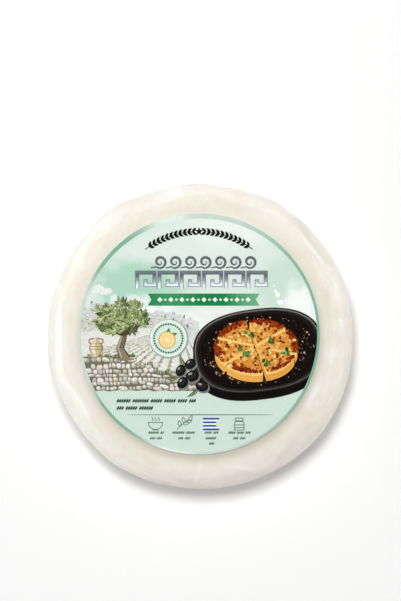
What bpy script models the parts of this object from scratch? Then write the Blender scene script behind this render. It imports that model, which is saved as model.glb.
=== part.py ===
"""A round wheel of white frying cheese, sealed in clear shrink film, with a round label on its top face.

Metres, +Z up. The wheel lies flat with its label up. The origin is the centre of its resting face,
and the label reads upright for someone who looks down with +Y away from them.
"""

import math

import bpy
from mathutils import Vector

# Driving sizes
WHEEL_RADIUS = 0.06355
WHEEL_HEIGHT = 0.038
FACE_RADIUS = 0.0515
SHOULDER_DEPTH = 0.0145
SHOULDER_POWER = 2.15
WALL_BULGE = 0.0003
LABEL_RADIUS = 0.050
LABEL_THICKNESS = 0.0003
LABEL_OFFSET = Vector((-0.0006, 0.00125))
CLEARANCE = 0.0003

# Resolution of the turned body
TURN_STEPS = 144
SHOULDER_STEPS = 11
WALL_STEPS = 3
MERGE_DISTANCE = 0.00001
ROUNDING = 0.000001

# Corners that the shrunk film gives the rim: direction in degrees, height, and half width in degrees
CORNER_POWER = 1.2
CORNERS = (
    (18, 0.00042, 28),
    (52, 0.00090, 28),
    (61, 0.00055, 8),
    (92, 0.00059, 11),
    (122, 0.00088, 8),
    (128, 0.00127, 28),
    (132, 0.00037, 8),
    (150, 0.00022, 8),
    (168, 0.00088, 11),
    (189, 0.00045, 12),
    (200, 0.00030, 8),
    (236, 0.00090, 28),
    (250, 0.00030, 9),
    (294, 0.00043, 28),
    (322, 0.00128, 28),
    (344, 0.00057, 15),
)

# Folds of the film across the shoulder, seen from above: start, end, bow to the left of the run, and height
FOLDS = (
    ((0.0352, 0.0507), (0.0515, 0.0288), -0.0012, 0.00050),
    ((0.0542, 0.0271), (0.0563, 0.0080), -0.0010, 0.00040),
    ((-0.0540, 0.0270), (-0.0556, -0.0120), 0.0040, 0.00045),
    ((0.0590, -0.0190), (0.0428, -0.0442), -0.0030, 0.00040),
    ((-0.0495, -0.0281), (-0.0330, -0.0478), 0.0016, 0.00035),
    ((-0.0450, 0.0385), (-0.0300, 0.0520), -0.0012, 0.00040),
    ((0.0020, 0.0610), (0.0200, 0.0560), -0.0008, 0.00035),
    ((-0.0180, -0.0560), (0.0120, -0.0585), 0.0014, 0.00035),
)
FOLD_HALF_WIDTH = 0.0024

IVORY = (0.87, 0.83, 0.74, 1.0)
PALE_MINT = (0.70, 0.82, 0.74, 1.0)


def clear_scene():
    for obj in list(bpy.data.objects):
        bpy.data.objects.remove(obj)


def new_collection(name):
    collection = bpy.data.collections.new(name)
    bpy.context.scene.collection.children.link(collection)
    return collection


def material(name, colour, roughness):
    made = bpy.data.materials.new(name)
    made.use_nodes = True
    shader = made.node_tree.nodes["Principled BSDF"]
    shader.inputs["Base Color"].default_value = colour
    shader.inputs["Roughness"].default_value = roughness
    shader.inputs["Metallic"].default_value = 0.0
    return made


def shoulder_point(turn):
    """Radius and drop on the shoulder, from the flat face at turn 0 to the wall at turn 1."""
    angle = turn * math.pi / 2
    out = math.sin(angle) ** (2 / SHOULDER_POWER)
    down = 1 - math.cos(angle) ** (2 / SHOULDER_POWER)
    return FACE_RADIUS + (WHEEL_RADIUS - FACE_RADIUS) * out, SHOULDER_DEPTH * down


def wheel_profile():
    """The wheel's half section, from the middle of its top down its outer side to the middle of its foot."""
    shoulder = [shoulder_point(step / SHOULDER_STEPS) for step in range(SHOULDER_STEPS + 1)]
    top = [(radius, WHEEL_HEIGHT - drop) for radius, drop in shoulder]
    foot = [(radius, drop) for radius, drop in reversed(shoulder)]
    wall = []
    for step in range(1, WALL_STEPS):
        share = step / WALL_STEPS
        height = top[-1][1] + (foot[0][1] - top[-1][1]) * share
        wall.append((WHEEL_RADIUS + WALL_BULGE * math.sin(math.pi * share), height))
    return [(0.0, WHEEL_HEIGHT), *top, *wall, *foot, (0.0, 0.0)]


def turned_mesh(name, profile):
    """The profile turned once about Z, as a plain mesh."""
    line = bpy.data.meshes.new(name + "_profile")
    edges = [(i, i + 1) for i in range(len(profile) - 1)]
    line.from_pydata([(radius, 0.0, height) for radius, height in profile], edges, [])
    guide = bpy.data.objects.new(name + "_guide", line)
    bpy.context.scene.collection.objects.link(guide)
    screw = guide.modifiers.new("turn", "SCREW")
    screw.axis = "Z"
    screw.steps = TURN_STEPS
    screw.render_steps = TURN_STEPS
    screw.use_merge_vertices = True
    screw.merge_threshold = MERGE_DISTANCE
    graph = bpy.context.evaluated_depsgraph_get()
    made = bpy.data.meshes.new_from_object(guide.evaluated_get(graph))
    made.name = name
    bpy.data.objects.remove(guide)
    return made


def corner_height(direction):
    """How far the film's corners push the rim outwards in this direction, in radians."""
    total = 0.0
    for degrees, height, half_width in CORNERS:
        apart = abs((math.degrees(direction) - degrees + 180) % 360 - 180)
        total += height * max(0.0, 1 - apart / half_width) ** CORNER_POWER
    return total


def fold_height(x, y):
    """How far the film's folds stand proud at this place, seen from above."""
    height = 0.0
    for start, end, bow, crest in FOLDS:
        start, run = Vector(start), Vector(end) - Vector(start)
        along = (Vector((x, y)) - start).dot(run) / run.length_squared
        if not 0 < along < 1:
            continue
        aside = run.normalized().cross(Vector((x, y)) - start)
        aside -= bow * math.sin(math.pi * along)
        height += crest * math.sin(math.pi * along) * math.exp(-((aside / FOLD_HALF_WIDTH) ** 2))
    return height


def wrapped(point):
    """Where a point of the turned body goes once the film has shrunk onto it."""
    radius = math.hypot(point.x, point.y)
    if radius <= FACE_RADIUS + ROUNDING:
        return point.copy()
    direction = math.atan2(point.y, point.x)
    share = (radius - FACE_RADIUS) / (WHEEL_RADIUS - FACE_RADIUS)
    outwards = corner_height(direction) * share
    upper = max(0.0, point.z / WHEEL_HEIGHT * 2 - 1)
    fold = fold_height(point.x, point.y) * upper ** 0.5
    slope = min(1.0, share) * math.pi / 2
    radius += outwards + fold * math.sin(slope)
    height = point.z + fold * math.cos(slope)
    return Vector((radius * math.cos(direction), radius * math.sin(direction), height))


def packed_wheel(collection):
    """The cheese with the film shrunk tight onto it, as one body."""
    mesh = turned_mesh("packed_wheel", wheel_profile())
    for vertex in mesh.vertices:
        vertex.co = wrapped(vertex.co)
    mesh.materials.append(material("film_over_cheese", IVORY, 0.3))
    mesh.shade_smooth()
    made = bpy.data.objects.new("packed_wheel", mesh)
    collection.objects.link(made)
    return made


def label(collection):
    """The round label on the top face, a thin disc a little off the wheel's centre."""
    bpy.ops.mesh.primitive_cylinder_add(vertices=TURN_STEPS, radius=LABEL_RADIUS, depth=LABEL_THICKNESS)
    made = bpy.context.object
    made.name = "label"
    height = WHEEL_HEIGHT + CLEARANCE + LABEL_THICKNESS / 2
    made.location = (LABEL_OFFSET.x, LABEL_OFFSET.y, height)
    made.data.materials.append(material("label_paper", PALE_MINT, 0.45))
    for other in list(made.users_collection):
        other.objects.unlink(made)
    collection.objects.link(made)
    return made


def main():
    clear_scene()
    collection = new_collection("packed_cheese_wheel")
    packed_wheel(collection)
    label(collection)


main()
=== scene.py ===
"""The looks of a round wheel of white frying cheese: the cheese, the clear film round it, and its label."""

import math
import random

import bpy
import numpy as np
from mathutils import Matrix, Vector, noise


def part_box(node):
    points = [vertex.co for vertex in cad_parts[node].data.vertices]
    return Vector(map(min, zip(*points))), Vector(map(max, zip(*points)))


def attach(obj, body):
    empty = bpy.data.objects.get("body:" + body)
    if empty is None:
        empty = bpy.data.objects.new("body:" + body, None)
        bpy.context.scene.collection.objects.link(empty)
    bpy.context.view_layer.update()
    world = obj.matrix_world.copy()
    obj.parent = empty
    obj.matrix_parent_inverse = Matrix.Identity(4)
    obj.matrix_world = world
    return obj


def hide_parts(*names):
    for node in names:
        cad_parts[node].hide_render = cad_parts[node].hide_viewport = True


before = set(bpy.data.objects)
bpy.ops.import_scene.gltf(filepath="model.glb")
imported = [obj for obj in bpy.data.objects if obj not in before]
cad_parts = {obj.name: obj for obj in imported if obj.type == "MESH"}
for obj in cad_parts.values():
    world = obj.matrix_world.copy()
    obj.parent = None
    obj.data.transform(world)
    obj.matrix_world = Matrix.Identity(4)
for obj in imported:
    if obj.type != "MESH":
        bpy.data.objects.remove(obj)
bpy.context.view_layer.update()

MM = 0.001

# The wheel's form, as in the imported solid
WHEEL_RADIUS = 0.06355
WHEEL_HEIGHT = 0.038
FACE_RADIUS = 0.0515
SHOULDER_DEPTH = 0.0145
SHOULDER_POWER = 2.15
WALL_BULGE = 0.0003

# Corners that the shrunk film gives the rim: direction in degrees, height, and half width in degrees
CORNER_POWER = 1.2
CORNERS = (
    (18, 0.00042, 28),
    (52, 0.00090, 28),
    (61, 0.00055, 8),
    (92, 0.00059, 11),
    (122, 0.00088, 8),
    (128, 0.00127, 28),
    (132, 0.00037, 8),
    (150, 0.00022, 8),
    (168, 0.00088, 11),
    (189, 0.00045, 12),
    (200, 0.00030, 8),
    (236, 0.00090, 28),
    (250, 0.00030, 9),
    (294, 0.00043, 28),
    (322, 0.00128, 28),
    (344, 0.00057, 15),
)

# Folds of the film across the shoulder, seen from above: start, end, bow to the left of the run, and height
FOLDS = (
    ((0.0352, 0.0507), (0.0515, 0.0288), -0.0012, 0.00050),
    ((0.0542, 0.0271), (0.0563, 0.0080), -0.0010, 0.00040),
    ((-0.0540, 0.0270), (-0.0556, -0.0120), 0.0040, 0.00045),
    ((0.0590, -0.0190), (0.0428, -0.0442), -0.0030, 0.00040),
    ((-0.0495, -0.0281), (-0.0330, -0.0478), 0.0016, 0.00035),
    ((-0.0450, 0.0385), (-0.0300, 0.0520), -0.0012, 0.00040),
    ((0.0020, 0.0610), (0.0200, 0.0560), -0.0008, 0.00035),
    ((-0.0180, -0.0560), (0.0120, -0.0585), 0.0014, 0.00035),
)
FOLD_HALF_WIDTH = 0.0012

# Fineness of the wheel's two surfaces
AROUND = 720
FACE_RINGS = 16
FACE_RING_SPREAD = 0.7
SHOULDER_RINGS = 40
WALL_RINGS = 10
FOOT_THINNING = 2

# Flats that the taut film presses on the shoulder: direction and tilt from upright in degrees, and depth
FACETS = (
    (4, 58, 0.00045),
    (33, 50, 0.00060),
    (47, 66, 0.00040),
    (76, 52, 0.00085),
    (108, 56, 0.00080),
    (146, 54, 0.00060),
    (157, 70, 0.00050),
    (179, 60, 0.00055),
    (209, 55, 0.00070),
    (224, 68, 0.00040),
    (243, 52, 0.00060),
    (271, 60, 0.00070),
    (283, 48, 0.00035),
    (306, 56, 0.00060),
    (333, 50, 0.00050),
    (345, 68, 0.00045),
)

# Narrow folds and pinches of the film, like the ones above
FINE_FOLDS = (
    ((0.0440, 0.0409), (0.0522, 0.0290), -0.0003, 0.00030),
    ((0.0516, 0.0296), (0.0570, 0.0268), 0.0003, 0.00045),
    ((0.0530, 0.0262), (0.0603, 0.0151), -0.0006, 0.00030),
    ((0.0560, 0.0067), (0.0600, 0.0060), 0.0, 0.00030),
    ((0.0562, 0.0056), (0.0602, 0.0049), 0.0, 0.00030),
    ((0.0560, 0.0045), (0.0598, 0.0037), 0.0, 0.00025),
    ((0.0562, -0.0030), (0.0536, -0.0125), -0.0008, 0.00035),
    ((0.0500, -0.0195), (0.0415, -0.0315), -0.0006, 0.00035),
    ((-0.0592, 0.0120), (-0.0590, -0.0165), -0.0006, 0.00045),
    ((-0.0560, 0.0150), (-0.0566, -0.0100), -0.0005, -0.00025),
    ((-0.0505, 0.0340), (-0.0430, 0.0440), 0.0005, 0.00035),
    ((-0.0556, -0.0175), (-0.0448, -0.0355), 0.0006, 0.00035),
    ((-0.0360, -0.0505), (-0.0255, -0.0553), 0.0005, 0.00035),
    ((0.0080, -0.0545), (0.0245, -0.0530), 0.0010, 0.00035),
    ((-0.0020, 0.0630), (0.0140, 0.0560), -0.0010, 0.00030),
    ((0.0120, 0.0600), (0.0300, 0.0560), 0.0004, 0.00025),
    ((-0.0160, 0.0592), (-0.0060, 0.0588), 0.0006, 0.00025),
)
FINE_FOLD_HALF_WIDTH = 0.0007

# Painted highlights, pale lines and patches where the film would catch the light, and painted shade, dull
# ones in
# its lee: start, end, bow and strength
PAINTED_GLINT_LINES = (
    ((0.0395, 0.0460), (0.0537, 0.0275), -0.0004, 1.0),
    ((0.0516, 0.0296), (0.0572, 0.0266), 0.0003, 0.9),
    ((0.0556, 0.0255), (0.0582, 0.0130), -0.0006, 0.8),
    ((0.0566, 0.0071), (0.0600, 0.0062), 0.0, 0.9),
    ((0.0568, 0.0053), (0.0600, 0.0044), 0.0, 0.9),
    ((-0.0560, -0.0180), (-0.0445, -0.0360), 0.0006, 0.9),
    ((-0.0360, -0.0500), (-0.0250, -0.0562), 0.0006, 0.9),
    ((-0.0200, -0.0585), (-0.0060, -0.0622), 0.0006, 0.7),
    ((0.0080, -0.0536), (0.0250, -0.0560), 0.0008, 0.9),
    ((-0.0028, -0.0625), (0.0008, -0.0500), 0.0, 0.6),
    ((0.0292, 0.0570), (0.0445, 0.0478), -0.0004, 0.6),
    ((-0.0610, 0.0270), (-0.0575, 0.0150), 0.0003, 0.6),
    ((-0.0588, 0.0125), (-0.0588, -0.0165), 0.0000, 6.0),
    ((-0.0500, 0.0348), (-0.0435, 0.0436), 0.0002, 1.5),
)
# Broader painted highlights
PAINTED_GLINT_PATCHES = (
    ((-0.0480, 0.0420), (-0.0360, 0.0530), -0.0006, 0.9),
    ((-0.0560, 0.0390), (-0.0470, 0.0270), -0.0004, 0.5),
    ((-0.0600, -0.0160), (-0.0545, -0.0235), 0.0, 0.7),
    ((-0.0550, -0.0210), (-0.0485, -0.0345), 0.0004, 0.6),
    ((-0.0150, 0.0605), (-0.0065, 0.0598), 0.0, 1.1),
    ((0.0555, -0.0030), (0.0535, -0.0125), -0.0004, 0.8),
    ((0.0505, -0.0165), (0.0430, -0.0310), -0.0006, 0.8),
    ((-0.0010, 0.0630), (0.0150, 0.0600), -0.0004, 0.5),
    ((-0.0622, -0.0110), (-0.0389, -0.0498), -0.0042, 0.9),
)
# Patches of painted shade
PAINTED_SHADE_PATCHES = (
    ((0.0400, 0.0500), (0.0590, 0.0240), -0.0020, 0.9),
    ((0.0320, 0.0545), (0.0480, 0.0420), -0.0006, 0.5),
    ((0.0300, -0.0560), (0.0560, -0.0300), 0.0030, 0.5),
    ((-0.0240, -0.0590), (0.0040, -0.0625), 0.0010, 0.6),
    ((0.0060, -0.0600), (0.0300, -0.0560), 0.0010, 0.5),
    ((0.0520, 0.0240), (0.0530, 0.0090), -0.0004, 0.5),
    ((0.0020, 0.0570), (0.0260, 0.0525), -0.0010, 0.4),
    ((-0.0271, -0.0582), (0.0321, -0.0556), -0.0072, 1.2),
)
PAINTED_GLINT_LINE_HALF_WIDTH = 0.0008
PATCH_HALF_WIDTH = 0.0018

# Small creases of the film, scattered by a seeded draw, and then more round the foot: how many, from and
# to how far down the section they start, their least and greatest length, how they lean, and their height
CREASE_SEED = 7
CREASES = (
    (90, (0.054, 0.100), (0.004, 0.014), 0.5, 0.00012),
    (80, (0.078, 0.092), (0.005, 0.012), 0.25, 0.00034),
)
CREASE_BOW = 0.0008
CREASE_HALF_WIDTH = 0.0006

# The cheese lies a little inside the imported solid's surface, and the film's folds show less on it
CHEESE_INSET = 0.00025
CHEESE_FOLD_SHARE = 0.8
CHEESE_LUMP = 0.00016
FILM_LUMP = CHEESE_LUMP * 0.6
LUMP_SIZE = 0.014

# The flat foot is what lies below this level and within this share of the way out over the shoulder
FOOT_LEVEL = 0.0005
FOOT_SHARE = 0.2

# The label: a sheet with a rounded edge, just off the film, and the layer of each ink, counted up from it.
# Each shape of one ink lies a hair above the shape before it, and after a cycle the lift starts again.
label_low, label_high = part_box("label")
LABEL_CENTRE = (label_low + label_high) / 2
LABEL_TRIM = 0.00015
LABEL_RADIUS = (label_high.x - label_low.x) / 2 - LABEL_TRIM
LABEL_GAP = 0.00006
LABEL_UNDERSIDE = WHEEL_HEIGHT + LABEL_GAP
LABEL_SINK = 0.0001
LABEL_TOP = label_high.z - LABEL_SINK
LABEL_EDGE = 0.00012
LABEL_EDGE_STEPS = 4
INK_LAYER = 0.00003
INK_ROOT = 0.00006
LAYERS = {
    "hills": 0.3, "field": 1.9, "panel": 2, "splashes": 2, "wall_gaps": 3.5, "wall": 3.6,
    "laurel": 4, "wave": 4, "key_edge": 4, "ribbon": 4, "note": 4, "captions": 4, "rule": 4,
    "drawings": 4, "pennant": 4, "key": 5, "ribbon_notches": 5, "ribbon_marks": 5, "trunk": 5.2,
    "jar": 5.2, "badge": 5.2, "tray": 5.2, "crumbs": 5.45, "crown": 5.7, "olives": 6,
    "wedge_sides": 7, "wedge_tops": 7.3, "browning": 7.5, "herbs": 9.4, "ring": 11,
}
SHAPE_LIFT = 0.0000003
LIFT_CYCLE = 150
RING_SEGMENTS = 360

# From here to the splashes, places and sizes are in millimetres from the middle of the label, and y is
# towards its top. A limit is how far from the middle something may reach, and this one is the usual one.
PRINT_LIMIT = 49.4

# Every drawn leaf is broadest a little nearer its stalk when this is below 1
LEAF_TAPER = 0.85

# The ring, which is wider round its top. It has green stretches, and glints on its pale ones: direction
# and half width in degrees
RING_OVERHANG = 0.02
RING_WIDTH = 1.0
RING_SWELL = 1.05
RING_SWELL_MIDDLE = 95
RING_SWELL_NARROWING = 1.1
RING_SWELL_POWER = 1.5
RING_TINT = (204, 220, 210)
RING_GREENS = ((0, 52), (135, 16), (225, 15))
RING_GREEN_TINT = (130, 181, 154)
RING_GLINTS = ((104, 8), (257, 9))
RING_GLINT_TINT = (229, 243, 234)
RING_CHANGE = 4.0

# The pale band across the foot
PANEL_LEVEL = -23.6
PANEL_LIMIT = 49.5

# The laurel arc and its star
LAUREL_CENTRE = 5.4
LAUREL_RADIUS = 37.0
LAUREL_LEAVES = 11
LAUREL_START = 4.5
LAUREL_PITCH = 2.95
LAUREL_LEAN = 38
LAUREL_LEAF = (2.5, 1.15)
LAUREL_STEM_WIDTH = 0.34
STAR_REACHES = (1.9, 0.8)

# The running wave
WAVES = 7
WAVE_START = -20.0
WAVE_PITCH = 6.2
WAVE_LEVEL = 27.3
CURL_POINTS = 26

# The key band. One key's path is in fifths of its pitch and quarters of its height
KEYS = 6
KEY_START = -25.6
KEY_PITCH = 9.2
KEY_BOTTOM = 18.8
KEY_TOP = 25.4
KEY_PATH = ((0, 0), (0, 4), (3.9, 4), (3.9, 0.9), (1.9, 0.9), (1.9, 2.35))
KEY_WIDTHS = (1.65, 1.15)

# The ribbon, and the row of lozenges and dots on it
RIBBON_LEFT = -21.2
RIBBON_RIGHT = 25.0
RIBBON_BOTTOM = 11.7
RIBBON_TOP = 16.7
RIBBON_NOTCH = 1.5
RIBBON_STEPS = 24
RIBBON_MARKS = 17
RIBBON_MARKS_START = -16.2
RIBBON_MARKS_PITCH = 2.28

# Hills from far to near, each with its tint and skyline, and puffs of cloud, each with its place and size
HILLS = (
    ((226, 228, 229), ((-50, 10), (-43, 13.5), (-35, 10), (-27, 8), (-18, 10.4), (-10, 8.6), (0, 5))),
    ((222, 224, 214), ((-50, 6), (-44, 8), (-37, 11), (-28, 7), (-20, 6), (-12, 7.4), (-4, 3))),
    ((212, 212, 194), ((-50, 2), (-44, 3), (-36, 5), (-28, 3.5), (-22, 4.5), (-14, 3), (-7, 0.5))),
)
HILL_FOOT = -4.0
CLOUD_LIMIT = 47.6
HILL_SEED = 3
TERRACES = 4
CLOUD_PUFFS = (
    (-46.0, 16.5, 2.2), (-42.5, 18.6, 3.0), (-38.5, 17.6, 2.6),
    (-27.0, 13.0, 3.2), (-23.4, 12.2, 2.6), (-30.0, 12.2, 2.4),
)

# The field and its rows of vines, which run from the foot of the picture to a far point
FIELD = [(-50, 0.5), (-36, 2.4), (-20, 2.6), (-6, 0.6), (-3, -6), (-2, -17), (-49, -17)]
VINE_ROWS = 15
VINE_ROWS_START = (-70.0, -15.0)
VINE_ROWS_PITCH = 5.2
VINE_ROWS_END = (-8.0, 3.4)
VINES_IN_ROW = 26
VINE_NARROWING = 0.9
VINE_SIZE = 0.8
VINE_LIMIT = 48.0
FIELD_SEED = 5

# The wall: how far to the right each step goes, and its height
STONE_STEPS = ((-27.0, -9.4), (-17.0, -12.8), (-8.0, -16.2), (1.0, -19.6))
STEPS_LEFT = -50.0
STEPS_FOOT = -23.5
STONE_LIMIT = 48.8
STONE_SEED = 11
GRASS_START = -46.0
GRASS_TUFTS = 90

# The tree: its trunk's bends, its crown, and its strokes of the pen, each with its shift, widths and tint
BARK, DARK_BARK, PALE_BARK = (146, 134, 108), (84, 74, 52), (196, 186, 162)
TREE_STROKES = (
    ((0.0, 0.0), (4.6, 3.2, 2.6), DARK_BARK),
    ((-0.2, 0.1), (3.6, 2.5, 2.0), BARK),
    ((-0.9, 0.0), (0.7, 0.5, 0.4), PALE_BARK),
    ((0.5, 0.0), (0.4, 0.3, 0.3), DARK_BARK),
    ((-0.1, 0.0), (0.25, 0.3, 0.2), DARK_BARK),
)
ROOT_STROKES = ((-3.4, (0.5, 1.6, 1.0)), (3.6, (0.5, 1.4, 0.8)))
TREE_ROOT = (-30.5, -10.5)
TREE_KNEE = (-32.6, -6.0)
TREE_FORK = (-31.0, -0.5)
CROWN_CENTRE = (-32.5, 6.6)
CROWN_SPREAD = (10.6, 6.4)
CROWN_SPRAYS = 62
LEAVES_IN_SPRAY = 7
LEAF_LIMIT = 49.0
TREE_SEED = 21

# The jar: heights with half widths, its bands' heights with their half width, and one handle
JAR_FOOT = (-42.6, -9.6)
JAR_PROFILE = (
    (0.0, 0.9), (0.5, 1.0), (1.6, 1.9), (3.2, 2.7), (4.6, 2.7),
    (5.8, 2.0), (6.6, 1.0), (7.6, 0.8), (8.2, 1.3),
)
JAR_BANDS = ((3.2, 3.4, 2.66), (4.3, 4.5, 2.66), (5.6, 5.7, 2.05))
JAR_HANDLE = ((1.0, 7.7), (2.7, 7.4), (2.9, 6.2), (2.2, 5.4))

# The badge: its rims, each with its shift, radius and tint, its beads, and the cut fruit with its leaves
BADGE_CENTRE = (-12.7, -1.8)
BADGE_RIMS = (
    (0.3, 8.1, (168, 174, 168)),
    (0.0, 7.8, (150, 182, 164)),
    (0.0, 7.58, (240, 248, 243)),
    (0.0, 6.95, (214, 236, 223)),
)
BADGE_BEADS = 36
BEADS_RADIUS = 5.9
BEAD_RADIUS = 0.42
BADGE_LEAVES = ((22, 4.6), (76, 4.0))
FRUIT_SHIFT = (-0.5, -0.7)
FRUIT_RIMS = ((3.6, (206, 156, 70)), (3.4, (238, 190, 92)), (2.95, (254, 243, 208)))
FRUIT_SEGMENTS = 8
FRUIT_SEGMENT = ((0.45, 0.0), (2.3, -0.82), (2.62, -0.4), (2.62, 0.4), (2.3, 0.82))

# The tray: half its width and height, and its outlines, each with its drop, size and tint
TRAY_CENTRE = (24.5, -6.7)
TRAY_HALF = (27.0, 17.1)
TRAY_POWER = 2.5
TRAY_TURN = 7.0
TRAY_LIMIT = 49.2
TRAY_RIMS = (
    (-3.4, 1.0, (26, 23, 22)),
    (-2.6, 0.99, (20, 18, 17)),
    (0.0, 1.0, (58, 54, 51)),
    (-0.1, 0.985, (38, 35, 33)),
    (-0.1, 0.972, (132, 128, 122)),
    (-0.25, 0.958, (54, 50, 47)),
    (-0.1, 0.925, (30, 26, 24)),
    (-0.5, 0.88, (22, 18, 16)),
)
TRAY_SEED = 13

# Crumbs and oil on the tray
CRUMB_COUNT = 760
CRUMB_LIMIT = 48.4
CRUMB_TINTS = (
    (104, 68, 28), (184, 138, 70), (60, 44, 28), (220, 196, 150),
    (50, 38, 26), (8, 6, 6), (120, 108, 94), (76, 48, 20),
)

# The wedges, set in a round that is seen a little from the side
WEDGES_CENTRE = (23.6, -5.0)
WEDGE_COUNT = 6
WEDGE_GAP = 1.5
WEDGE_TURN = 12
WEDGE_REACH = 15.6
WEDGE_SQUASH = 0.64
WEDGE_THICKNESS = 4.0
WEDGE_SPOTS = 250
GOLDEN_TINTS = ((232, 156, 66), (255, 228, 146))
SEARED_TINTS = ((186, 76, 26), (92, 22, 8))
WEDGE_SEED = 17

# Herbs: place and heading. Olives: place, size and turn. Their leaves: place and heading
HERB_SPOTS = ((16, -6, 20), (20, -9, 160), (29, -3, 60), (27, -11, 300), (36, -8, 120), (22, 0, 200))
HERB_SEED = 4
OLIVES = (
    (-3.6, -12.4, 2.5, 35),
    (-7.6, -15.1, 2.5, 60),
    (-2.8, -17.4, 2.9, 20),
    (-6.8, -20.1, 2.6, 50),
    (1.2, -21.6, 2.7, -15),
)
OLIVE_LEAVES = ((-5.2, -13.8, 118), (-8.4, -18.4, 176), (0.0, -22.6, 214))

# Rows of seeds in the place of fine print: each size's length and pitch, the note's ends and levels,
# and the middle, half width and level of each caption
PRINT_SEED = 9
SEED_LEAN = 64
NOTE_SEED = (2.0, 0.95)
NOTE_START = -34.0
NOTE_ROWS = ((-2.0, -28.5), (-19.5, -31.5))
CAPTION_SEED = (1.4, 0.72)
CAPTIONS = (
    (-18.0, 2.9, -41.4), (-18.0, 2.2, -43.7), (-6.4, 4.6, -41.4), (-6.4, 2.2, -43.7),
    (5.2, 2.8, -41.4), (5.2, 2.4, -43.7), (5.2, 1.0, -45.9), (16.6, 4.4, -41.4), (16.6, 2.4, -43.7),
)

# The rule, and the small pictures under it
RULE_LEVEL = -33.4
RULE_START = -29.9
RULE_LENGTH = 60.5
RULE_STEPS = 20
DRAWING_LINE = 0.36
DRAWINGS_FOOT = -39.7
PENNANT_LEFT = 1.6
PENNANT_RIGHT = 8.6
PENNANT_TOP = -34.7
PENNANT_BOTTOM = -39.8
PENNANT_NOTCH = 2.2
PENNANT_STRIPES = 7

# White splashes at the right
SPLASHES = 26
SPLASH_LIMIT = 47.5
SPLASH_SEED = 6

# Brightness of the light tent at its foot and at its top, and how fast it falls upwards
TENT_SIDE = 3.3
TENT_TOP = 0.1
TENT_FALL = 5.0

# How the tent's brightness changes towards its far side, and how much the very near side is dimmed:
# the higher the power, the narrower the dimmed part
TENT_LEAN = -0.06
TENT_DIP = 0.68
TENT_DIP_POWER = 4.0

# Lights: name, direction and height in degrees, distance, width, height, power and tint, and then whether
# matt surfaces and gloss show them
WHITE = (1.0, 1.0, 1.0)
WARM = (1.0, 0.93, 0.84)
LIGHTS = (
    ("key", 104, 80, 1.0, 0.2, 0.2, 7.4, WHITE, True, False),
    ("window", 200, 20, 1.6, 1.6, 1.6, 3.9, WHITE, True, True),
    ("fill", 335, 25, 1.6, 1.2, 1.2, 1.1, WARM, True, False),
    ("left_card", 181, 11, 1.6, 0.75, 0.24, 9.0, WHITE, False, True),
    ("right_card", -2, 50, 1.6, 1.7, 0.35, 5.0, WHITE, False, True),
)

# The floor, and the camera straight above: its distance from the label, its shift towards the label's top,
# and how much of the label's plane it sees from foot to head of the picture
FLOOR_SIZE = 6.0
CAMERA_DISTANCE = 1.4
CAMERA_SHIFT = 0.0151
FRAME_HEIGHT = 0.24855
SENSOR_HEIGHT = 24.0


def linear(colour):
    """A printed colour, given as 0 to 255 on a screen, as the linear values that a shader takes."""
    values = [channel / 255 for channel in colour]
    return tuple(v / 12.92 if v <= 0.04045 else ((v + 0.055) / 1.055) ** 2.4 for v in values) + (1.0,)


# Materials

def new_material(name):
    """A material, its Principled node and its node tree."""
    made = bpy.data.materials.new(name)
    made.use_nodes = True
    tree = made.node_tree
    return made, tree.nodes["Principled BSDF"], tree


def add_node(tree, kind, **values):
    """A node of that kind, with its plain properties or named inputs set."""
    node = tree.nodes.new(kind)
    for name, value in values.items():
        socket = name.replace("_", " ")
        if socket in node.inputs:
            node.inputs[socket].default_value = value
        else:
            setattr(node, name, value)
    return node


def noise_node(tree, scale, detail=3.0, roughness=0.5, distortion=0.0, coords=None):
    """Noise in the part's own metres, so that its grain has a real size."""
    coords = coords or add_node(tree, "ShaderNodeTexCoord").outputs["Object"]
    node = add_node(tree, "ShaderNodeTexNoise", Scale=scale, Detail=detail, Roughness=roughness,
                    Distortion=distortion)
    tree.links.new(coords, node.inputs["Vector"])
    return node.outputs["Fac"]


def ramp(tree, factor, stops):
    """A colour ramp through stops of (place, colour)."""
    node = add_node(tree, "ShaderNodeValToRGB")
    elements = node.color_ramp.elements
    while len(elements) < len(stops):
        elements.new(0.5)
    for element, (place, colour) in zip(elements, stops):
        element.position = place
        element.color = colour
    tree.links.new(factor, node.inputs["Fac"])
    return node.outputs["Color"]


def blend_colours(tree, factor, first, second, mode="MIX"):
    """A mix of two colours, each a socket or a plain colour."""
    node = add_node(tree, "ShaderNodeMix", data_type="RGBA", blend_type=mode)
    inputs = (node.inputs["Factor"], node.inputs[6], node.inputs[7])
    for socket, value in zip(inputs, (factor, first, second)):
        if isinstance(value, bpy.types.NodeSocket):
            tree.links.new(value, socket)
        else:
            socket.default_value = value
    return node.outputs[2]


def arithmetic(tree, operation, first, second=0.0):
    """One maths node, whose inputs are sockets or plain numbers."""
    node = add_node(tree, "ShaderNodeMath", operation=operation)
    for socket, value in zip(node.inputs, (first, second)):
        if isinstance(value, bpy.types.NodeSocket):
            tree.links.new(value, socket)
        else:
            socket.default_value = value
    return node.outputs[0]


def axes_of(tree, space="Object"):
    """The X, Y and Z outputs of the place that is shaded."""
    coords = add_node(tree, "ShaderNodeTexCoord").outputs[space]
    split = add_node(tree, "ShaderNodeSeparateXYZ")
    tree.links.new(coords, split.inputs[0])
    return split.outputs


def distance_from(tree, centre_mm, stretch=(1.0, 1.0)):
    """How far a point of the label is from a place on it, in millimetres, by plan only."""
    axes = axes_of(tree)
    squares = []
    for axis, place, scale in zip("XY", centre_mm, stretch):
        origin = (LABEL_CENTRE.x if axis == "X" else LABEL_CENTRE.y) + place * MM
        offset = arithmetic(tree, "SUBTRACT", axes[axis], origin)
        offset = arithmetic(tree, "MULTIPLY", offset, 1 / (MM * scale))
        squares.append(arithmetic(tree, "MULTIPLY", offset, offset))
    return arithmetic(tree, "SQRT", arithmetic(tree, "ADD", *squares))


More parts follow.
